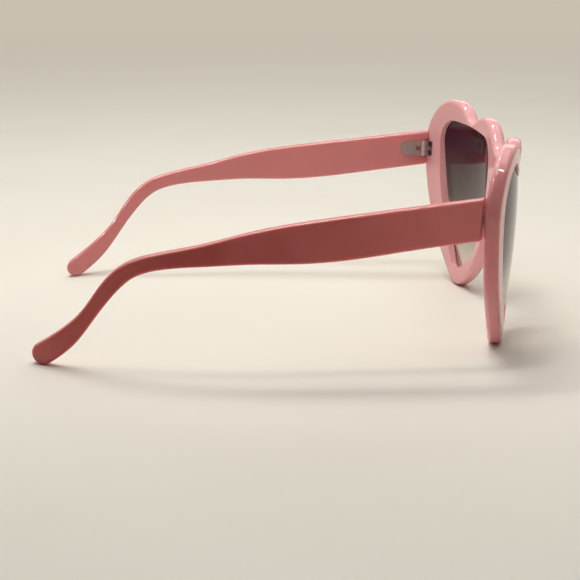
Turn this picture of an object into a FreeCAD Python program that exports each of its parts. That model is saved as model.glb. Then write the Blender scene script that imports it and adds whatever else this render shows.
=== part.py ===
"""Heart shaped sunglasses: a moulded front with two lenses, and two temples on pinned hinges.

X runs across the face, Y from the front back to the ears, Z up. The glasses stand open on the
tips of the rims and of the temples, with the origin on the floor under the middle of the whole.
"""
import FreeCAD, Part
import math
import os
from FreeCAD import Vector

# Heart of each rim, seen from the front: from the middle of the bridge, and up from its tip
INNER_LOBE_X = 23.1
INNER_LOBE_Z = 44.8
INNER_LOBE_RADIUS = 17.6
LOBE_SPACING = 28.8
OUTER_LOBE_X = INNER_LOBE_X + LOBE_SPACING
OUTER_LOBE_RISE = 1.7
OUTER_LOBE_Z = INNER_LOBE_Z + OUTER_LOBE_RISE
OUTER_LOBE_RADIUS = 18.0
HEART_MIDDLE_X = INNER_LOBE_X + LOBE_SPACING / 2
CLEFT_RADIUS = 6.0
OUTER_SIDE_RADIUS = 60.0
NOSE_SIDE_RADIUS = 50.0
TIP_OFFSET = 1.0
TIP_X = HEART_MIDDLE_X + TIP_OFFSET
TIP_RADIUS = 8.5
BRIDGE_RISE = 8.2
BRIDGE_TOP = INNER_LOBE_Z + BRIDGE_RISE
BRIDGE_HEIGHT = 11.0
BRIDGE_BOTTOM = BRIDGE_TOP - BRIDGE_HEIGHT

# Front: a plate of even thickness, curved round the face, its top leaning forward
WRAP_RADIUS = 168.0
FRONT_THICKNESS = 4.6
FRONT_TILT = 3.6
TILT_LINE_SETBACK = 13.1
FRONT_EDGE_ROUND = 1.5
BACK_EDGE_ROUND = 1.5

# Lenses: barrel-curved sheets in a groove between the two openings of each rim
LENS_INSET = 4.6
LENS_CLEFT_RADIUS = 28.0
LENS_THICKNESS = 1.8
LENS_CURVE_ACROSS = 100.0
LENS_CURVE_UPRIGHT = 230.0
LENS_CENTRE_DROP = 11.8
LENS_CENTRE_Z = INNER_LOBE_Z - LENS_CENTRE_DROP
LENS_SLACK = 0.1
LENS_EDGE_X = OUTER_LOBE_X + OUTER_LOBE_RADIUS - LENS_INSET
LEAF_LENS_WALL = 0.3

# Openings of the rims: a heart in front that laps the lens, a flat-topped window behind
LENS_LAP = 1.2
FRONT_OPENING_INSET = LENS_INSET + LENS_LAP
BACK_OUTER_INSET = 9.6
BACK_OUTER_SHIFT = 1.5
BACK_OUTER_RAISE = 2.3
BACK_INNER_INSET = 8.0
BACK_INNER_SHIFT = 1.1
BACK_INNER_RAISE = 2.0
BACK_TIP_INSET = 3.5
BACK_TIP_RAISE = 2.5
BACK_TOP_RADIUS = 200.0
BACK_OUTER_SIDE_RADIUS = 72.0
BACK_NOSE_SIDE_RADIUS = 36.0

# Nose pads moulded on the back of the rims
PAD_LENGTH = 17.0
PAD_RADIUS = 2.9
PAD_Z = 31.0
PAD_INSET = 1.5
PAD_STAND = 0.6
PAD_FULLNESS = 0.6

# Temples, side view: a sloping shank that swells, tapers to a neck, bends, drops and curls up at its tip
HINGE_DROP = 1.4
HINGE_Z = OUTER_LOBE_Z - HINGE_DROP
TEMPLE_HEIGHT = 12.2
SHANK_HEIGHT = 12.7
NECK_HEIGHT = 4.8
DROP_HEIGHT = 4.4
TIP_HEIGHT = 6.6
SHANK_SLOPE = 7.0
SHANK_LENGTH = 92.8
TAPER_START = 40.0
TAPER_LENGTH = 57.0
TAPER_LIFT = 0.8
EAR_BEND_RADIUS = 22.0
EAR_BEND_ANGLE = 46.6
DROP_LENGTH = 10.6
TIP_CURL_RADIUS = 53.0
TIP_CURL_ANGLE = 21.0

# Temples, plan view: bowed outward, with the tips tucked in
TEMPLE_WIDTH = 3.6
TEMPLE_OUTSET = 0.1
HINGE_HALF_WIDTH = OUTER_LOBE_X + OUTER_LOBE_RADIUS + TEMPLE_OUTSET
TEMPLE_BOW = 3.1
BOW_REACH = 60.0
TIP_TUCK = 13.0
TEMPLE_EDGE_ROUND = 0.9
TEMPLE_LEAD = 18.0
END_GAP = 0.3

# Hinges: stamped leaves with three knuckles, turning on a screw
KNUCKLE_RADIUS = 1.5
LEAF_HEIGHT = 5.2
LEAF_THICKNESS = 0.9
LEAF_SINK = 0.2
KNUCKLE_GAP = 0.1
PIN_Y = -0.8
PIN_STAND = 2.0
TEMPLE_LEAF_REACH = 7.8
SLOT_REACH = 3.0
FRONT_LEAF_WIDTH = 4.4
FRONT_LEAF_THICKNESS = 0.5
FRONT_LEAF_SINK = 0.1
SHANK_WIDTH = 1.8
ANCHOR_DEPTH = 1.4
ANCHOR_LENGTH = 3.0
ANCHOR_HEIGHT = 3.2
SEAT_SLACK = 0.04
SCREW_RADIUS = 0.6
SCREW_HEAD_RADIUS = 1.1
SCREW_HEAD_HEIGHT = 0.6
SCREW_SLOT_WIDTH = 0.3
SCREW_SLOT_DEPTH = 0.3
RUNNING_CLEARANCE = 0.04
KNUCKLE_RELIEF = 0.25

# Length of the tools that cut right through, how near counts as the same place
REACH = 45.0
SAME_PLACE = 0.01
ACROSS = Vector(1, 0, 0)
UP = Vector(0, 0, 1)


def at(x, z):
    return Vector(x, 0, z)


def meet(centre_a, reach_a, centre_b, reach_b, side):
    """Point at two reaches from two centres, to the left (1) or right (-1) of the way from a to b."""
    way = centre_b - centre_a
    span = way.Length
    along = (reach_a ** 2 - reach_b ** 2 + span ** 2) / (2 * span)
    off = math.sqrt(reach_a ** 2 - along ** 2)
    unit = way / span
    left = Vector(-unit.z, 0, unit.x)
    return centre_a + unit * along + left * (off * side)


def touch(first, second):
    """Where two touching circles meet; the circle of a hollow has a negative radius."""
    normal = (first[0] - second[0]) / (second[1] - first[1])
    return first[0] + normal * first[1]


def arc(circle, start, end):
    """Stretch of one circle, clockwise on a round and the other way in a hollow."""
    centre, radius = circle
    first = math.atan2(start.z - centre.z, start.x - centre.x)
    last = math.atan2(end.z - centre.z, end.x - centre.x)
    turn = -1 if radius > 0 else 1
    sweep = turn * ((turn * (last - first)) % (2 * math.pi))
    half = first + sweep / 2
    middle = centre + at(math.cos(half), math.sin(half)) * abs(radius)
    return Part.Arc(start, middle, end).toShape()


def chain(circles, start, end):
    """Arcs along a row of touching circles, from a start point to an end point."""
    marks = [start]
    marks += [touch(one, other) for one, other in zip(circles, circles[1:])]
    marks.append(end)
    return [arc(circle, p, q) for circle, p, q in zip(circles, marks, marks[1:])]


def heart(inner, outer, tip, top_radius, outer_radius, nose_radius):
    """Six touching circles of a heart, clockwise from its inner lobe; a cleft is a hollow top."""
    reach = [abs(top_radius - lobe[1]) for lobe in (inner, outer)]
    side = 1 if top_radius < 0 else -1
    top = meet(inner[0], reach[0], outer[0], reach[1], side)
    outer_side = meet(outer[0], outer_radius - outer[1], tip[0], outer_radius - tip[1], -1)
    nose_side = meet(tip[0], nose_radius - tip[1], inner[0], nose_radius - inner[1], -1)
    return [inner, (top, top_radius), outer, (outer_side, outer_radius), tip, (nose_side, nose_radius)]


def rim_heart(inset, cleft_radius):
    """The rim's heart, drawn in by an inset."""
    inner = (at(INNER_LOBE_X, INNER_LOBE_Z), INNER_LOBE_RADIUS - inset)
    outer = (at(OUTER_LOBE_X, OUTER_LOBE_Z), OUTER_LOBE_RADIUS - inset)
    tip = (at(TIP_X, TIP_RADIUS), TIP_RADIUS - inset)
    return heart(inner, outer, tip, -cleft_radius, OUTER_SIDE_RADIUS - inset, NOSE_SIDE_RADIUS - inset)


def back_window():
    """The opening seen from behind: the rim's circles drawn in and moved, with a nearly flat top."""
    inner_centre = at(INNER_LOBE_X - BACK_INNER_SHIFT, INNER_LOBE_Z + BACK_INNER_RAISE)
    outer_centre = at(OUTER_LOBE_X - BACK_OUTER_SHIFT, OUTER_LOBE_Z + BACK_OUTER_RAISE)
    tip_centre = at(TIP_X, TIP_RADIUS + BACK_TIP_RAISE)
    inner = (inner_centre, INNER_LOBE_RADIUS - BACK_INNER_INSET)
    outer = (outer_centre, OUTER_LOBE_RADIUS - BACK_OUTER_INSET)
    tip = (tip_centre, TIP_RADIUS - BACK_TIP_INSET)
    return heart(inner, outer, tip, BACK_TOP_RADIUS, BACK_OUTER_SIDE_RADIUS, BACK_NOSE_SIDE_RADIUS)


def prism(edges):
    """A solid of an outline in the X-Z plane, long enough to pass through the front."""
    face = Part.Face(Part.Wire(Part.__sortEdges__(edges)))
    face.translate(Vector(0, -REACH, 0))
    return face.extrude(Vector(0, 2 * REACH, 0))


def closed(circles):
    seam = touch(circles[-1], circles[0])
    return chain(circles, seam, seam)


def mirrored(shape):
    return shape.mirror(Vector(0, 0, 0), ACROSS)


def front_outline():
    """Outline of the whole front: both hearts, joined by a bridge hollowed above and below."""
    circles = rim_heart(0, CLEFT_RADIUS)
    inner = circles[0]
    nose_side = circles[5]
    rise = BRIDGE_TOP - inner[0].z
    dip = (inner[0].x ** 2 + rise ** 2 - inner[1] ** 2) / (2 * (inner[1] - rise))
    above = (at(0, BRIDGE_TOP + dip), -dip)
    drop = nose_side[0].z - BRIDGE_BOTTOM
    arch = (nose_side[0].x ** 2 + drop ** 2 - nose_side[1] ** 2) / (2 * (nose_side[1] - drop))
    below = (at(0, BRIDGE_BOTTOM - arch), -arch)
    row = [above] + circles + [below]
    half = chain(row, at(0, BRIDGE_TOP), at(0, BRIDGE_BOTTOM))
    return half + [mirrored(edge) for edge in half]


def wrap_axis():
    """Upright axis of the wrap, placed so that the rim's back face stands off the hinge's pin."""
    pin = pin_place()
    reach = WRAP_RADIUS - PIN_STAND
    return Vector(0, pin.y + math.sqrt(reach ** 2 - pin.x ** 2), 0)


def wrap_drum(radius):
    """Upright drum about the wrap's axis."""
    base = wrap_axis() - UP * REACH
    return Part.makeCylinder(radius, 4 * REACH, base)


def leaned(shape):
    """Lean the front about a line across it at the hinges' height."""
    turned = shape.copy()
    turned.rotate(Vector(0, -TILT_LINE_SETBACK, HINGE_Z), ACROSS, FRONT_TILT)
    return turned


def drum_edges(solid, radius):
    """Edges of a solid that run along a drum of the wrap."""
    found = []
    for edge in solid.Edges:
        points = edge.discretize(3)
        reach = [math.hypot(p.x, p.y - wrap_axis().y) for p in points]
        if all(abs(r - radius) < SAME_PLACE for r in reach):
            found.append(edge)
    return found


def plate():
    """The front before its openings, with rounded outer edges."""
    outer_radius = WRAP_RADIUS + FRONT_THICKNESS
    shell = wrap_drum(outer_radius).cut(wrap_drum(WRAP_RADIUS))
    solid = prism(front_outline()).common(shell)

    front = drum_edges(solid, outer_radius)
    solid = solid.makeFillet(FRONT_EDGE_ROUND, front)
    back = drum_edges(solid, WRAP_RADIUS)
    return solid.makeFillet(BACK_EDGE_ROUND, back)


def lens_centre():
    """Middle of the lens on the front's outer face, and how far the front has turned there."""
    radius = WRAP_RADIUS + FRONT_THICKNESS
    turn = math.asin(HEART_MIDDLE_X / radius)
    place = wrap_axis() + Vector(math.sin(turn), -math.cos(turn), 0) * radius
    return Vector(place.x, place.y, LENS_CENTRE_Z), turn


def lens_proud():
    """How far the lens's middle stands out of the front, its outer edge a wall away from the hinge."""
    axis = wrap_axis()
    behind = WRAP_RADIUS + FRONT_LEAF_SINK + FRONT_LEAF_THICKNESS + LEAF_LENS_WALL
    edge = Vector(LENS_EDGE_X, axis.y - math.sqrt(behind ** 2 - LENS_EDGE_X ** 2), 0)
    rise = HINGE_Z + LEAF_HEIGHT / 2 - LENS_CENTRE_Z
    upright = LENS_CURVE_UPRIGHT - LENS_THICKNESS
    dip = upright - math.sqrt(upright ** 2 - rise ** 2)
    back = LENS_CURVE_ACROSS - LENS_THICKNESS - dip
    centre, turn = lens_centre()
    way = edge - Vector(centre.x, centre.y, 0)
    inward = Vector(-math.sin(turn), math.cos(turn), 0)
    depth = way.dot(inward)
    return LENS_CURVE_ACROSS - depth - math.sqrt(depth ** 2 - way.Length ** 2 + back ** 2)


def barrel_line(depth):
    """Upright arc of the lens's curve at a depth behind its outer face."""
    across = LENS_CURVE_ACROSS - depth
    upright = LENS_CURVE_UPRIGHT - depth
    dip = upright - math.sqrt(upright ** 2 - REACH ** 2)
    points = [Vector(0, dip - across, -REACH), Vector(0, -across, 0), Vector(0, dip - across, REACH)]
    return Part.Arc(*points).toShape()


def barrel(outer_depth, inner_depth):
    """Ring between two depths of the lens's curve, or all that is inside one, set on the front."""
    outer = barrel_line(outer_depth)
    first, last = [vertex.Point for vertex in outer.Vertexes]
    if inner_depth is None:
        edges = [outer]
        corners = [last, Vector(0, 0, last.z), Vector(0, 0, first.z), first]
        edges += [Part.makeLine(p, q) for p, q in zip(corners, corners[1:])]
    else:
        inner = barrel_line(inner_depth)
        low, high = [vertex.Point for vertex in inner.Vertexes]
        edges = [outer, Part.makeLine(last, high), inner, Part.makeLine(low, first)]
    face = Part.Face(Part.Wire(Part.__sortEdges__(edges)))
    ring = face.revolve(Vector(0, 0, 0), UP, 360)
    centre, turn = lens_centre()
    inward = Vector(-math.sin(turn), math.cos(turn), 0)
    ring.translate(centre + inward * (LENS_CURVE_ACROSS - lens_proud()))
    return ring


def lens():
    outline = closed(rim_heart(LENS_INSET, LENS_CLEFT_RADIUS))
    return prism(outline).common(barrel(0, LENS_THICKNESS))


def rim_cut():
    """What one rim loses: the heart in front of the lens, its groove, and the window behind it."""
    core = barrel(LENS_THICKNESS / 2, None)
    heart_opening = rim_heart(FRONT_OPENING_INSET, CLEFT_RADIUS + FRONT_OPENING_INSET)
    front = prism(closed(heart_opening)).cut(core)
    window = prism(closed(back_window())).common(core)
    groove_outline = closed(rim_heart(LENS_INSET - LENS_SLACK, LENS_CLEFT_RADIUS - LENS_SLACK))
    groove = prism(groove_outline).common(barrel(0, LENS_THICKNESS + LENS_SLACK))
    return front.fuse([window, groove])


def nose_pad():
    """A spindle moulded on the back edge of the rim, along its nose side."""
    side, radius = rim_heart(PAD_INSET, CLEFT_RADIUS + PAD_INSET)[5]
    drop = side.z - PAD_Z
    x = side.x - math.sqrt(radius ** 2 - drop ** 2)
    lean = math.degrees(math.asin(drop / radius))
    half = PAD_LENGTH / 2
    pole = PAD_RADIUS * 4 / 3
    swell = Part.BezierCurve()
    bulge = half * PAD_FULLNESS
    swell.setPoles([at(0, -half), at(pole, -bulge), at(pole, bulge), at(0, half)])
    spine = Part.makeLine(at(0, half), at(0, -half))
    spindle = Part.Face(Part.Wire([swell.toShape(), spine])).revolve(Vector(0, 0, 0), UP, 360)
    spindle.rotate(Vector(0, 0, 0), Vector(0, 1, 0), -lean)
    back_y = wrap_axis().y - math.sqrt(WRAP_RADIUS ** 2 - x ** 2)
    spindle.translate(Vector(x, back_y + PAD_STAND, PAD_Z))
    return spindle


def pin_place():
    """Where the hinge's axis stands, on the right-hand side."""
    x = HINGE_HALF_WIDTH - TEMPLE_WIDTH + LEAF_SINK - KNUCKLE_RADIUS
    return Vector(x, PIN_Y, HINGE_Z)


def block(low, high):
    size = high - low
    return Part.makeBox(size.x, size.y, size.z, low)


def upright(radius, low, high):
    """Upright round bar about the hinge's axis, between two heights from its middle."""
    base = pin_place() + UP * low
    return Part.makeCylinder(radius, high - low, base)


def front_turned(shape):
    """Turn a shape about the hinge's axis so that its -Y looks square into the front."""
    axis = wrap_axis()
    pin = pin_place()
    turn = math.degrees(math.atan2(pin.x - axis.x, axis.y - pin.y))
    turned = shape.copy()
    turned.rotate(pin, UP, turn)
    return turned


def knuckle_half():
    """Half the height of the middle knuckle."""
    return LEAF_HEIGHT / 6


def front_leaf_parts(grow):
    """Plate and shank of the leaf on the front, grown at their sides by a slack for the seat."""
    pin = pin_place()
    depth = PIN_STAND + FRONT_LEAF_SINK
    wide = FRONT_LEAF_WIDTH / 2 + grow
    tall = LEAF_HEIGHT / 2 + grow
    back = FRONT_LEAF_THICKNESS if grow else 0
    plate_low = pin + Vector(-wide, -depth - FRONT_LEAF_THICKNESS, -tall)
    plate_high = pin + Vector(wide, -depth + back, tall)
    narrow = SHANK_WIDTH / 2 + grow
    short = knuckle_half() - KNUCKLE_GAP / 2 + (grow + KNUCKLE_GAP if grow else 0)
    shank_low = pin + Vector(-narrow, -depth - FRONT_LEAF_THICKNESS / 2, -short)
    shank_high = pin + Vector(narrow, 0, short)
    return front_turned(block(plate_low, plate_high).fuse(block(shank_low, shank_high)))


def front_leaf():
    half = knuckle_half() - KNUCKLE_GAP / 2
    knuckle = upright(KNUCKLE_RADIUS, -half, half)
    bore = upright(SCREW_RADIUS + RUNNING_CLEARANCE, -LEAF_HEIGHT, LEAF_HEIGHT)
    return front_leaf_parts(0).fuse(knuckle).cut(bore).removeSplitter()


def temple_leaf_parts(grow):
    """Round-ended plate and anchor of the leaf on the temple, grown at their sides for the seat."""
    pin = pin_place()
    outer_x = pin.x + KNUCKLE_RADIUS
    tall = LEAF_HEIGHT / 2
    end_y = TEMPLE_LEAF_REACH - tall
    low = Vector(outer_x - LEAF_THICKNESS, pin.y - grow, pin.z - tall - grow)
    high = Vector(outer_x, end_y, pin.z + tall + grow)
    end_base = Vector(outer_x - LEAF_THICKNESS, end_y, pin.z)
    end = Part.makeCylinder(tall + grow, LEAF_THICKNESS, end_base, ACROSS)
    anchor_low = Vector(outer_x - LEAF_THICKNESS / 2, end_y - ANCHOR_LENGTH / 2 - grow,
                        pin.z - ANCHOR_HEIGHT / 2 - grow)
    anchor_high = Vector(outer_x + ANCHOR_DEPTH + grow, end_y + ANCHOR_LENGTH / 2 + grow,
                         pin.z + ANCHOR_HEIGHT / 2 + grow)
    return block(low, high).fuse([end, block(anchor_low, anchor_high)])


def temple_leaf():
    pin = pin_place()
    gap = knuckle_half() + KNUCKLE_GAP / 2
    tall = LEAF_HEIGHT / 2
    knuckle = upright(KNUCKLE_RADIUS, -tall, tall)
    bore = upright(SCREW_RADIUS, -LEAF_HEIGHT, LEAF_HEIGHT)
    slot_low = pin + Vector(-2 * KNUCKLE_RADIUS, -2 * KNUCKLE_RADIUS, -gap)
    slot_high = pin + Vector(2 * KNUCKLE_RADIUS, SLOT_REACH, gap)
    leaf = temple_leaf_parts(0).fuse(knuckle).cut(bore)
    return leaf.cut(block(slot_low, slot_high)).removeSplitter()


def hinge_screw():
    tall = LEAF_HEIGHT / 2
    shaft = upright(SCREW_RADIUS, -tall, tall)
    head = upright(SCREW_HEAD_RADIUS, tall, tall + SCREW_HEAD_HEIGHT)
    top = pin_place() + UP * (tall + SCREW_HEAD_HEIGHT)
    slot_low = top - Vector(SCREW_HEAD_RADIUS * 2, SCREW_SLOT_WIDTH / 2, SCREW_SLOT_DEPTH)
    slot_high = top + Vector(SCREW_HEAD_RADIUS * 2, SCREW_SLOT_WIDTH / 2, SCREW_SLOT_DEPTH)
    return shaft.fuse(head).cut(block(slot_low, slot_high)).removeSplitter()


def step_along(place, heading, length, bend_radius):
    """Walk a straight (no radius) or a bend in the Y-Z plane; a positive radius turns down."""
    if not bend_radius:
        way = Vector(0, math.cos(heading), -math.sin(heading))
        return place + way * length, heading
    turned = heading + length / bend_radius
    dy = bend_radius * (math.sin(turned) - math.sin(heading))
    dz = bend_radius * (math.cos(turned) - math.cos(heading))
    return place + Vector(0, dy, dz), turned


def taper_height(distance):
    """Height of the shank at a distance along it, easing down to the neck."""
    share = min((distance - TAPER_START) / TAPER_LENGTH, 1.0)
    ease = (1 - math.cos(math.pi * share)) / 2
    return SHANK_HEIGHT + (NECK_HEIGHT - SHANK_HEIGHT) * ease


def temple_stations():
    """Points along the temple's middle line: place, heading below level, and height there."""
    slope = math.radians(SHANK_SLOPE)
    bend = EAR_BEND_RADIUS * math.radians(EAR_BEND_ANGLE)
    curl = TIP_CURL_RADIUS * math.radians(TIP_CURL_ANGLE)
    hinge = Vector(0, 0, HINGE_Z)
    stations = []
    for distance in (-TEMPLE_LEAD, 0.0, TAPER_START / 2, TAPER_START):
        place, heading = step_along(hinge, slope, distance, 0)
        swell = (SHANK_HEIGHT - TEMPLE_HEIGHT) * distance / TAPER_START
        stations.append((place, heading, TEMPLE_HEIGHT + swell))
    rest = SHANK_LENGTH - TAPER_START
    for share in (0.25, 0.5, 0.75, 1.0):
        distance = TAPER_START + rest * share
        place, heading = step_along(hinge, slope, distance, 0)
        lift = UP * (TAPER_LIFT * math.sin(math.pi * share) ** 2)
        stations.append((place + lift, heading, taper_height(distance)))
    neck = stations[-1]
    for share in (0.5, 1.0):
        place, heading = step_along(neck[0], neck[1], bend * share, EAR_BEND_RADIUS)
        stations.append((place, heading, NECK_HEIGHT))
    place, heading = step_along(place, heading, DROP_LENGTH, 0)
    stations.append((place, heading, DROP_HEIGHT))
    foot = stations[-1]
    for share in (0.5, 1.0):
        place, heading = step_along(foot[0], foot[1], curl * share, -TIP_CURL_RADIUS)
        swell = math.sin(math.pi / 2 * share)
        stations.append((place, heading, DROP_HEIGHT + (TIP_HEIGHT - DROP_HEIGHT) * swell))
    return stations


def temple_reach():
    """How far back the round tip goes."""
    place, heading, height = temple_stations()[-1]
    return place.y + height / 2


def temple_side():
    """The temple's side view as a solid right across the glasses' right half."""
    top = []
    bottom = []
    for place, heading, height in temple_stations():
        up = Vector(0, math.sin(heading), math.cos(heading))
        top.append(place + up * (height / 2))
        bottom.append(place - up * (height / 2))
    way = [Vector(0, math.cos(h), -math.sin(h)) for _, h, _ in temple_stations()]
    upper = Part.BSplineCurve()
    upper.interpolate(Points=top, InitialTangent=way[0], FinalTangent=way[-1])
    lower = Part.BSplineCurve()
    lower.interpolate(Points=bottom, InitialTangent=way[0], FinalTangent=way[-1])
    place, heading, height = temple_stations()[-1]
    cap = Part.Arc(top[-1], place + way[-1] * (height / 2), bottom[-1])
    front = Part.makeLine(bottom[0], top[0])
    edges = [upper.toShape(), cap.toShape(), lower.toShape(), front]
    face = Part.Face(Part.Wire(Part.__sortEdges__(edges)))
    return face.extrude(ACROSS * (2 * HINGE_HALF_WIDTH))


def bow_line(inset):
    """Plan line of the temple's face: a cubic that bows out and then tucks in at the tip."""
    reach = temple_reach()
    share = BOW_REACH / reach
    cube = (TEMPLE_BOW / share ** 2 + TIP_TUCK) / (share - 1)
    square = -TIP_TUCK - cube
    ends = (-TEMPLE_LEAD, reach + TIP_HEIGHT)

    def line(y):
        u = y / reach
        return HINGE_HALF_WIDTH - inset + square * u ** 2 + cube * u ** 3

    def rise(y):
        u = y / reach
        return (2 * square * u + 3 * cube * u ** 2) / reach

    third = (ends[1] - ends[0]) / 3
    poles = [Vector(line(ends[0]), ends[0], 0),
             Vector(line(ends[0]) + rise(ends[0]) * third, ends[0] + third, 0),
             Vector(line(ends[1]) - rise(ends[1]) * third, ends[1] - third, 0),
             Vector(line(ends[1]), ends[1], 0)]
    curve = Part.BezierCurve()
    curve.setPoles(poles)
    return curve.toShape()


def temple_blank():
    """Side view and plan view together, its front end shaped to the back of the front."""
    outer = bow_line(0)
    inner = bow_line(TEMPLE_WIDTH)
    ends = [Part.makeLine(a.Point, b.Point) for a, b in zip(outer.Vertexes, inner.Vertexes)]
    slab = Part.Face(Part.Wire(Part.__sortEdges__([outer, inner] + ends)))
    slab.translate(UP * -REACH)
    slab = slab.extrude(UP * 4 * REACH)
    return temple_side().common(slab)


def temple():
    blank = temple_blank()
    boxes = [(edge, edge.BoundBox) for edge in blank.Edges]
    lengthwise = [edge for edge, box in boxes if box.YMax > 0 and box.YLength > TEMPLE_EDGE_ROUND]
    rounded = blank.makeFillet(TEMPLE_EDGE_ROUND, lengthwise)
    solid = rounded.common(leaned(wrap_drum(WRAP_RADIUS - END_GAP)))
    pin = pin_place()
    tall = LEAF_HEIGHT / 2 + SCREW_HEAD_HEIGHT + KNUCKLE_RELIEF
    round_relief = upright(KNUCKLE_RADIUS + KNUCKLE_RELIEF, -tall, tall)
    reach = KNUCKLE_RADIUS + KNUCKLE_RELIEF
    front_relief = block(pin + Vector(-reach, -2 * FRONT_THICKNESS, -tall), pin + Vector(reach, 0, tall))
    return solid.cut([round_relief, front_relief, temple_leaf_parts(SEAT_SLACK)])


def front_frame():
    cut = rim_cut()
    pad = nose_pad()
    solid = plate().fuse([pad, mirrored(pad)]).cut([cut, mirrored(cut)])
    seat = front_leaf_parts(SEAT_SLACK)
    return leaned(solid).cut([seat, mirrored(seat)])


def build():
    right = {
        "lens": leaned(lens()),
        "temple": temple(),
        "front_hinge_leaf": front_leaf(),
        "temple_hinge_leaf": temple_leaf(),
        "hinge_screw": hinge_screw(),
    }
    nodes = {"front_frame": front_frame()}
    for name, shape in right.items():
        nodes["left_" + name] = shape
        nodes["right_" + name] = mirrored(shape)
    return {name: shape.Solids[0] for name, shape in nodes.items()}


def main():
    nodes = build()
    whole = Part.makeCompound(list(nodes.values()))
    box = whole.optimalBoundingBox(False)
    shift = Vector(-box.Center.x, -box.Center.y, -box.ZMin)
    os.makedirs("parts", exist_ok=True)
    for name, shape in nodes.items():
        shape.translate(shift)
        shape.exportStep("parts/%s.step" % name)
        print(name, shape.ShapeType, len(shape.Solids), shape.isValid(), round(shape.Volume, 1))
    pin = pin_place() + shift
    print("size %.2f x %.2f x %.2f" % (box.XLength, box.YLength, box.ZLength))
    print("hinge pin at %.3f %.3f %.3f" % (pin.x, pin.y, pin.z))


main()
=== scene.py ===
# %% [markdown]
# Heart shaped sunglasses, open on a pale table.
# The solids come from the construction step at their real size, so this lesson never moves or
# reshapes them. It gives each piece the finish of its real material, then sets up the table, the
# light and the camera.

# %% Load the solids
import math

import bpy
from mathutils import Matrix, Vector


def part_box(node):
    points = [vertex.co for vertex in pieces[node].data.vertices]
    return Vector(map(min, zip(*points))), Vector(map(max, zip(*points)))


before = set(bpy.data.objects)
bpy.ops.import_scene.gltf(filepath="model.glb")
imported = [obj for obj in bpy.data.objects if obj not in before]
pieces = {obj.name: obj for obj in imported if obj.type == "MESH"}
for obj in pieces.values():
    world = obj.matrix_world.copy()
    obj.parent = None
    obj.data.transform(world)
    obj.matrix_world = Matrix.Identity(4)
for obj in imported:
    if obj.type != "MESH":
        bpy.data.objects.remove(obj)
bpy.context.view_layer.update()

print("pieces:", sorted(pieces))

# %% [markdown]
# Colours are picked as hex values, the way a paint card lists them. The renderer works with linear
# light, so one function turns a hex value into linear numbers.
# A second function adds a shader node, so that every finish below reads as a short list.

# %% Colour and node helpers
MM = 0.001


def linear(hex_colour):
    """Linear colour of an sRGB hex value such as "d98c8c", with full alpha."""
    channels = [int(hex_colour[i:i + 2], 16) / 255 for i in (0, 2, 4)]
    curve = [c / 12.92 if c <= 0.04045 else ((c + 0.055) / 1.055) ** 2.4 for c in channels]
    return (*curve, 1.0)


def add_node(tree, kind, settings=None, values=None, links=None):
    """Add a node, set its properties and sockets, and link other nodes' outputs into it."""
    node = tree.nodes.new(kind)
    for key, value in (settings or {}).items():
        setattr(node, key, value)
    for key, value in (values or {}).items():
        node.inputs[key].default_value = value
    for key, source in (links or {}).items():
        tree.links.new(source, node.inputs[key])
    return node


def per_mm(size_mm):
    """Texture scale that repeats once in a real size given in millimetres."""
    return 1 / (size_mm * MM)


def new_material(name):
    """An empty material and its node tree."""
    material = bpy.data.materials.new(name)
    material.use_nodes = True
    material.node_tree.nodes.clear()
    return material, material.node_tree


def shade(piece, material):
    """Give a piece one material all over."""
    piece.data.materials.clear()
    piece.data.materials.append(material)


print("1 mm is", MM, "scene units")

# %% [markdown]
# The front and the temples are injection-moulded plastic, dyed pink right through. Faces that point
# outward, away from the wearer, get a deeper rose colour. That colour is painted shade: it darkens
# the outer faces as if they lay in shade, on both sides alike. On the temples the painted shade grows
# darker from the hinge along the shank, and a slow noise cloud varies the colour a little at random.
# The painted shade is mixed in by the way a face points and by how far back it lies, so no edge has
# to be cut between the two colours. Noise seldom leaves the middle of its range, so only that part is
# used.

# %% Share of the painted shade
NOISE_LOW = 0.3
NOISE_HIGH = 0.7
CLOUD_MM = 26.0
CLOUD_LOW = 0.44
CLOUD_HIGH = 0.56
FADE_START_MM = -52.0
FADE_END_MM = 25.0
THIN_PAINTED_SHADE = 0.2
DENSE_PAINTED_SHADE = 0.5


def painted_shade_share(tree, coords):
    """Share of painted shade: about 0.5 on bare plastic, more on outward faces, most of all far back.
    """
    spot = add_node(tree, "ShaderNodeSeparateXYZ", links={"Vector": coords.outputs["Object"]})
    facing = add_node(tree, "ShaderNodeSeparateXYZ", links={"Vector": coords.outputs["Normal"]})
    side = add_node(tree, "ShaderNodeMath", {"operation": "SIGN"}, links={0: spot.outputs["X"]})
    outward = add_node(tree, "ShaderNodeMath", {"operation": "MULTIPLY"},
                       links={0: facing.outputs["X"], 1: side.outputs["Value"]})
    # Painted shade along the shank: outward faces grow darker towards the back.
    painted_shade_strength = add_node(tree, "ShaderNodeMapRange",
                       values={"From Min": FADE_START_MM * MM, "From Max": FADE_END_MM * MM,
                               "To Min": THIN_PAINTED_SHADE, "To Max": DENSE_PAINTED_SHADE},
                       links={"Value": spot.outputs["Y"]})
    cloud = add_node(tree, "ShaderNodeTexNoise", values={"Scale": per_mm(CLOUD_MM), "Detail": 2.0},
                     links={"Vector": coords.outputs["Object"]})
    uneven = add_node(tree, "ShaderNodeMapRange",
                      values={"From Min": NOISE_LOW, "From Max": NOISE_HIGH,
                              "To Min": CLOUD_LOW, "To Max": CLOUD_HIGH},
                      links={"Value": cloud.outputs["Fac"]})
    share = add_node(tree, "ShaderNodeMath", {"operation": "MULTIPLY_ADD"},
                     links={0: outward.outputs["Value"], 1: painted_shade_strength.outputs["Result"],
                            2: uneven.outputs["Result"]})
    return share.outputs["Value"]


# The painted shade on the outward faces grows darker over this length of the shank.
print("the coat grows denser over %.0f mm" % (FADE_END_MM - FADE_START_MM))

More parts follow.
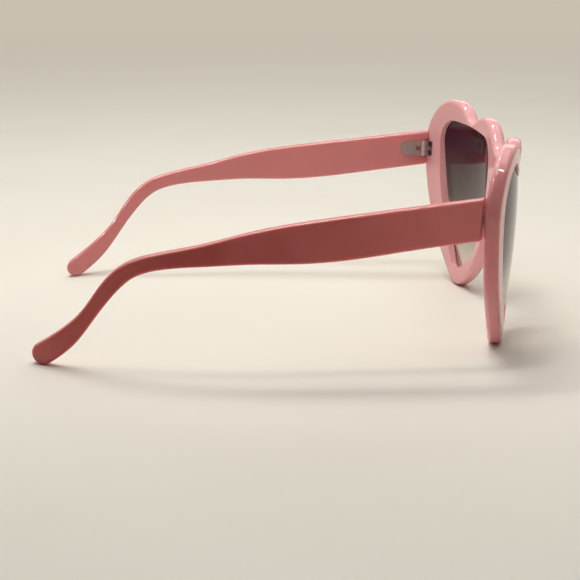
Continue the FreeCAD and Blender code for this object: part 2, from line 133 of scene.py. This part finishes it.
# %% [markdown]
# The mould leaves the plastic polished. Such a surface is very smooth, but never quite flat: it keeps
# a slow waviness from shrinking, which bends the reflections a little, and a haze of fine handling
# marks. A plain glossy shader would look like wet paint, so the waviness is a faint bump, the marks
# vary the roughness, and a little light is let into the plastic, which softens the shade at thin
# edges. The handling marks are drawn coarser than real ones, so that they show.

# %% Moulded pink plastic
DYE_AT = 0.5
# The first stop is the plastic's own dye; the next two are painted shade.
PAINTED_SHADE_AT = 0.7
DEEP_PAINTED_SHADE_AT = 1.0
MARKS_MM = 3.0
MARKS_LOW = 0.35
MARKS_HIGH = 0.75
CLEAN_ROUGHNESS = 0.02
MARKED_ROUGHNESS = 0.06
WAVE_MM = 8.0
WAVE_DEPTH_MM = 0.04
WAVE_STRENGTH = 0.6
PLASTIC_IOR = 1.49
GLOW_SHARE = 0.3
GLOW_DEPTH_MM = 2.0
GLOW_SPREAD = (1.0, 0.4, 0.35)


def moulded_plastic(name, dye, painted_shade, deep_painted_shade):
    """Glossy plastic dyed through, with a deeper painted shade colour on the side turned away from the
    wearer.
    """
    material, tree = new_material(name)
    coords = add_node(tree, "ShaderNodeTexCoord")
    place = coords.outputs["Object"]
    colour = add_node(tree, "ShaderNodeValToRGB", links={"Fac": painted_shade_share(tree, coords)})
    steps = colour.color_ramp.elements
    steps[0].position = DYE_AT
    steps[0].color = linear(dye)
    steps[1].position = DEEP_PAINTED_SHADE_AT
    steps[1].color = linear(deep_painted_shade)
    steps.new(PAINTED_SHADE_AT).color = linear(painted_shade)
    marks = add_node(tree, "ShaderNodeTexNoise", values={"Scale": per_mm(MARKS_MM), "Detail": 1.0},
                     links={"Vector": place})
    roughness = add_node(tree, "ShaderNodeMapRange",
                         values={"From Min": MARKS_LOW, "From Max": MARKS_HIGH,
                                 "To Min": CLEAN_ROUGHNESS, "To Max": MARKED_ROUGHNESS},
                         links={"Value": marks.outputs["Fac"]})
    wave = add_node(tree, "ShaderNodeTexNoise", values={"Scale": per_mm(WAVE_MM), "Detail": 1.0},
                    links={"Vector": place})
    bump = add_node(tree, "ShaderNodeBump",
                    values={"Strength": WAVE_STRENGTH, "Distance": WAVE_DEPTH_MM * MM},
                    links={"Height": wave.outputs["Fac"]})
    plastic = add_node(tree, "ShaderNodeBsdfPrincipled",
                       values={"IOR": PLASTIC_IOR, "Subsurface Weight": GLOW_SHARE,
                               "Subsurface Radius": GLOW_SPREAD,
                               "Subsurface Scale": GLOW_DEPTH_MM * MM},
                       links={"Base Color": colour.outputs["Color"],
                              "Roughness": roughness.outputs["Result"],
                              "Normal": bump.outputs["Normal"]})
    add_node(tree, "ShaderNodeOutputMaterial", links={"Surface": plastic.outputs["BSDF"]})
    return material


# The second and third colours of both plastics are painted shade on outward faces; on the temples the
# third, darkest one lies far back on the shank.
rim_pink = moulded_plastic("moulded_pink_front", dye="eeadb0", painted_shade="dc8488", deep_painted_shade="dc8488")
temple_pink = moulded_plastic("moulded_pink_temple", dye="e28a8b", painted_shade="e47877", deep_painted_shade="b6403d")
shade(pieces["front_frame"], rim_pink)
for side in ("left", "right"):
    shade(pieces[side + "_temple"], temple_pink)
print("plastic pieces shaded: front_frame and both temples")

# %% [markdown]
# The lenses are thin polycarbonate sheet with a smoke dye. They were dipped, so the dye is dense at the
# top and fades to a warm grey at the tip of the heart. The plum hue at the top is a painted reflection
# of the pink temple; the darkening itself is the dye. The shader takes the colour of light that has
# crossed the whole sheet, so each step below is the tint the eye sees at that height.
# The index is set lower than that of real polycarbonate, which keeps the reflections from hiding
# the tint where a lens is seen nearly edge on.

# %% Smoke tinted lenses
LENS_IOR = 1.22
LENS_ROUGHNESS = 0.02
# The plum hue of the top step is a painted reflection of the pink temple; the fade from dark to light
# is the dip dye.
TINT_AND_PAINTED_REFLECTION_STEPS = ((0.0, "e8e0d8"), (0.15, "c2b9b0"), (0.45, "625856"), (0.8, "401a2b"))
lens_low, lens_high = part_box("left_lens")

smoke, smoke_tree = new_material("smoke_polycarbonate")
place = add_node(smoke_tree, "ShaderNodeTexCoord").outputs["Object"]
height = add_node(smoke_tree, "ShaderNodeSeparateXYZ", links={"Vector": place}).outputs["Z"]
fade = add_node(smoke_tree, "ShaderNodeMapRange",
                values={"From Min": lens_low.z, "From Max": lens_high.z}, links={"Value": height})
tint = add_node(smoke_tree, "ShaderNodeValToRGB", links={"Fac": fade.outputs["Result"]})
steps = tint.color_ramp.elements
steps.remove(steps[1])
for level, dye in TINT_AND_PAINTED_REFLECTION_STEPS:
    step = steps[0] if level == 0 else steps.new(level)
    step.color = linear(dye)
lens_sheet = add_node(smoke_tree, "ShaderNodeBsdfPrincipled",
                      values={"IOR": LENS_IOR, "Roughness": LENS_ROUGHNESS,
                              "Transmission Weight": 1.0},
                      links={"Base Color": tint.outputs["Color"]})
add_node(smoke_tree, "ShaderNodeOutputMaterial", links={"Surface": lens_sheet.outputs["BSDF"]})
for side in ("left", "right"):
    shade(pieces[side + "_lens"], smoke)
print("lens tint fades over %.1f mm" % ((lens_high.z - lens_low.z) / MM))

# %% [markdown]
# The hinges are stamped steel with nickel plating. Plating follows every mark of the stamping, so
# the shine is broken up by fine grain. The screws are turned and polished a little brighter.

# %% Nickel plated hinges
GRAIN_MM = 0.5
GRAIN_DEPTH_MM = 0.02
GRAIN_STRENGTH = 0.15
GRAIN_ROUGHNESS = 0.16


def nickel(name, tone, polish):
    """Nickel plating over stamped or turned steel. Polish is the roughness of its smoothest spots."""
    material, tree = new_material(name)
    place = add_node(tree, "ShaderNodeTexCoord").outputs["Object"]
    grain = add_node(tree, "ShaderNodeTexNoise", values={"Scale": per_mm(GRAIN_MM), "Detail": 3.0},
                     links={"Vector": place})
    roughness = add_node(tree, "ShaderNodeMapRange",
                         values={"From Min": NOISE_LOW, "From Max": NOISE_HIGH,
                                 "To Min": polish, "To Max": polish + GRAIN_ROUGHNESS},
                         links={"Value": grain.outputs["Fac"]})
    bump = add_node(tree, "ShaderNodeBump",
                    values={"Strength": GRAIN_STRENGTH, "Distance": GRAIN_DEPTH_MM * MM},
                    links={"Height": grain.outputs["Fac"]})
    plating = add_node(tree, "ShaderNodeBsdfPrincipled",
                       values={"Base Color": linear(tone), "Metallic": 1.0},
                       links={"Roughness": roughness.outputs["Result"],
                              "Normal": bump.outputs["Normal"]})
    add_node(tree, "ShaderNodeOutputMaterial", links={"Surface": plating.outputs["BSDF"]})
    return material


leaf_nickel = nickel("nickel_plated_leaf", tone="b1a5a3", polish=0.26)
screw_nickel = nickel("nickel_plated_screw", tone="bcb6ae", polish=0.18)
for side in ("left", "right"):
    shade(pieces[side + "_front_hinge_leaf"], leaf_nickel)
    shade(pieces[side + "_temple_hinge_leaf"], leaf_nickel)
    shade(pieces[side + "_hinge_screw"], screw_nickel)
print("hinge pieces shaded: four leaves and two screws")

# %% [markdown]
# The table is a wide sheet of cream paper. It takes the soft shadow that shows where the rims and
# the temple tips touch it. Far from the glasses it fades into a plain backdrop of the same cream, so
# no horizon shows from a low angle. Only rays that reach the eye, straight or by way of a mirror or
# a glass, see the backdrop, so it sends no light onto the glasses.

# %% Paper table
TABLE_HALF = 4.0
PAPER_CLOUD_MM = 90.0
PAPER_DARK = "e1ddd3"
PAPER_LIGHT = "e9e6dc"
PAPER_ROUGHNESS = 0.7
PAPER_IOR = 1.3
FADE_NEAR = 0.35
FADE_FAR = 1.2
BACKDROP = "c8c0b1"


def looked_at(tree):
    """Output that is 1 for a ray that shows a surface to the eye, also in a mirror or through glass."""
    path = add_node(tree, "ShaderNodeLightPath")
    shine = add_node(tree, "ShaderNodeMath", {"operation": "MAXIMUM"},
                     links={0: path.outputs["Is Glossy Ray"], 1: path.outputs["Is Transmission Ray"]})
    seen = add_node(tree, "ShaderNodeMath", {"operation": "MAXIMUM"},
                    links={0: path.outputs["Is Camera Ray"], 1: shine.outputs["Value"]})
    return seen.outputs["Value"]


corners = [(-TABLE_HALF, -TABLE_HALF), (TABLE_HALF, -TABLE_HALF),
           (TABLE_HALF, TABLE_HALF), (-TABLE_HALF, TABLE_HALF)]
table_mesh = bpy.data.meshes.new("paper_table")
table_mesh.from_pydata([(x, y, 0.0) for x, y in corners], [], [(0, 1, 2, 3)])
table = bpy.data.objects.new("paper_table", table_mesh)
bpy.context.scene.collection.objects.link(table)

paper, paper_tree = new_material("cream_paper")
place = add_node(paper_tree, "ShaderNodeTexCoord").outputs["Object"]
cloud = add_node(paper_tree, "ShaderNodeTexNoise",
                 values={"Scale": per_mm(PAPER_CLOUD_MM), "Detail": 3.0}, links={"Vector": place})
tone = add_node(paper_tree, "ShaderNodeValToRGB", links={"Fac": cloud.outputs["Fac"]})
tone.color_ramp.elements[0].color = linear(PAPER_DARK)
tone.color_ramp.elements[1].color = linear(PAPER_LIGHT)
surface = add_node(paper_tree, "ShaderNodeBsdfPrincipled",
                   values={"Roughness": PAPER_ROUGHNESS, "IOR": PAPER_IOR},
                   links={"Base Color": tone.outputs["Color"]})
distance = add_node(paper_tree, "ShaderNodeVectorMath", {"operation": "LENGTH"}, links={0: place})
far = add_node(paper_tree, "ShaderNodeMapRange", values={"From Min": FADE_NEAR, "From Max": FADE_FAR},
               links={"Value": distance.outputs["Value"]})
faded = add_node(paper_tree, "ShaderNodeMath", {"operation": "MULTIPLY"},
                 links={0: far.outputs["Result"], 1: looked_at(paper_tree)})
haze = add_node(paper_tree, "ShaderNodeEmission", values={"Color": linear(BACKDROP), "Strength": 1.0})
paper_sheet = add_node(paper_tree, "ShaderNodeMixShader",
                       links={"Fac": faded.outputs["Value"], 1: surface.outputs["BSDF"],
                              2: haze.outputs["Emission"]})
add_node(paper_tree, "ShaderNodeOutputMaterial", links={"Surface": paper_sheet.outputs["Shader"]})
shade(table, paper)
print("table is %.0f m wide" % (2 * TABLE_HALF))

# %% [markdown]
# Most of the light comes from soft panels above the glasses and beyond them, so the tops of the rims
# and temples shine while the faces turned to the camera lie in soft shade, lit by the paper.
# A small card over the glasses brightens the inner side of the far temple. Two narrow lamps high up
# draw the thin shadow lines under the near temple. They are long along the temples, so those lines
# stay sharp and the shadows of the rims are soft.
# Three thin tubes stand for lights that only glint in the polish. They are kept out of the diffuse
# light, because a lamp bright enough to draw a thin white line would also flatten the shade.

# %% Lamps
GLASSES = Vector((0.0, 0.0, 0.03))
LAMP_TINT = "fffcf8"
TUBE_LENGTH = 0.8
TUBE_WIDTH = 0.04
TUBE_WATTS = 5.0


def panel(name, place, target, size_x, size_y, watts):
    """Rectangular soft lamp that faces a target. Its place and its two sides are in metres."""
    lamp = bpy.data.lights.new(name, "AREA")
    lamp.shape = "RECTANGLE"
    lamp.size = size_x
    lamp.size_y = size_y
    lamp.energy = watts
    lamp.color = linear(LAMP_TINT)[:3]
    lit = bpy.data.objects.new(name, lamp)
    lit.location = place
    lit.rotation_euler = (Vector(target) - Vector(place)).to_track_quat("-Z", "Y").to_euler()
    bpy.context.scene.collection.objects.link(lit)
    return lit


panel("overhead_panel", (0.14, 0.0, 0.5), (0.14, 0.0, 0.0), size_x=0.4, size_y=0.6, watts=0.9)
panel("far_panel", (2.6, -0.6, 1.2), (2.6, -0.6, 0.0), size_x=2.0, size_y=2.4, watts=18.0)
panel("inner_card", (-0.02, 0.0, 0.2), (0.1, -0.04, 0.03), size_x=0.45, size_y=0.1, watts=0.15)
panel("ceiling_lamp", (-0.08, 0.15, 1.25), GLASSES, size_x=0.08, size_y=0.5, watts=3.4)
panel("back_lamp", (0.5, 0.2, 1.2), GLASSES, size_x=0.7, size_y=0.1, watts=4.4)
for name, place in (("high_tube", (-0.35, 0.7, 1.09)), ("low_tube", (-0.45, 0.95, 0.82)),
                    ("far_tube", (-0.4, -0.1, 1.1))):
    tube = panel(name, place, GLASSES, size_x=TUBE_LENGTH, size_y=TUBE_WIDTH, watts=TUBE_WATTS)
    tube.visible_diffuse = False

# %% [markdown]
# The room is dim, and brighter on the far side, like a room with its window there. The eye sees the
# plain backdrop in its place. The standard view shows each colour about as it was picked.

# %% Room
ROOM_TINT = "f1ede6"
ROOM_DIM = 0.06
ROOM_BRIGHT = 0.5
DIM_SIDE = -0.6
BRIGHT_SIDE = 0.9

world = bpy.data.worlds.new("cream_room")
world.use_nodes = True
bpy.context.scene.world = world
room_tree = world.node_tree
room_tree.nodes.clear()
direction = add_node(room_tree, "ShaderNodeTexCoord").outputs["Generated"]
across = add_node(room_tree, "ShaderNodeSeparateXYZ", links={"Vector": direction}).outputs["X"]
glow = add_node(room_tree, "ShaderNodeMapRange",
                values={"From Min": DIM_SIDE, "From Max": BRIGHT_SIDE,
                        "To Min": ROOM_DIM, "To Max": ROOM_BRIGHT},
                links={"Value": across})
room = add_node(room_tree, "ShaderNodeBackground", values={"Color": linear(ROOM_TINT)},
                links={"Strength": glow.outputs["Result"]})
backdrop = add_node(room_tree, "ShaderNodeBackground",
                    values={"Color": linear(BACKDROP), "Strength": 1.0})
surroundings = add_node(room_tree, "ShaderNodeMixShader",
                        links={"Fac": looked_at(room_tree), 1: room.outputs["Background"],
                               2: backdrop.outputs["Background"]})
add_node(room_tree, "ShaderNodeOutputWorld", links={"Surface": surroundings.outputs["Shader"]})
bpy.context.scene.view_settings.view_transform = "Standard"
print("room strength from", ROOM_DIM, "to", ROOM_BRIGHT)

# %% [markdown]
# The camera stands off the wearer's right side, a little behind the hinges, and looks slightly
# down. A long lens keeps the two temples nearly parallel.

# %% Camera
SENSOR_MM = 36.0
PICTURE_PX = 580
FOCAL_PX = 1599.9
CAMERA_MM = (-518.16, 18.24, 136.17)
YAW = -2.392
PITCH_DOWN = 13.895
ROLL = 0.104
FARTHEST_SEEN = 20.0

yaw, pitch, roll = [math.radians(a) for a in (YAW, PITCH_DOWN, ROLL)]
ahead = Vector((math.cos(yaw) * math.cos(pitch), math.sin(yaw) * math.cos(pitch), -math.sin(pitch)))
level_right = ahead.cross(Vector((0, 0, 1))).normalized()
level_up = level_right.cross(ahead)
right = level_right * math.cos(roll) + level_up * math.sin(roll)
up = level_up * math.cos(roll) - level_right * math.sin(roll)
optics = bpy.data.cameras.new("side_camera")
optics.sensor_fit = "HORIZONTAL"
optics.sensor_width = SENSOR_MM
optics.lens = SENSOR_MM * FOCAL_PX / PICTURE_PX
optics.clip_end = FARTHEST_SEEN
camera = bpy.data.objects.new("side_camera", optics)
turn = Matrix((right, up, -ahead)).transposed().to_4x4()
camera.matrix_world = Matrix.Translation(Vector(CAMERA_MM) * MM) @ turn
bpy.context.scene.collection.objects.link(camera)
bpy.context.scene.camera = camera
print("lens %.1f mm" % optics.lens)
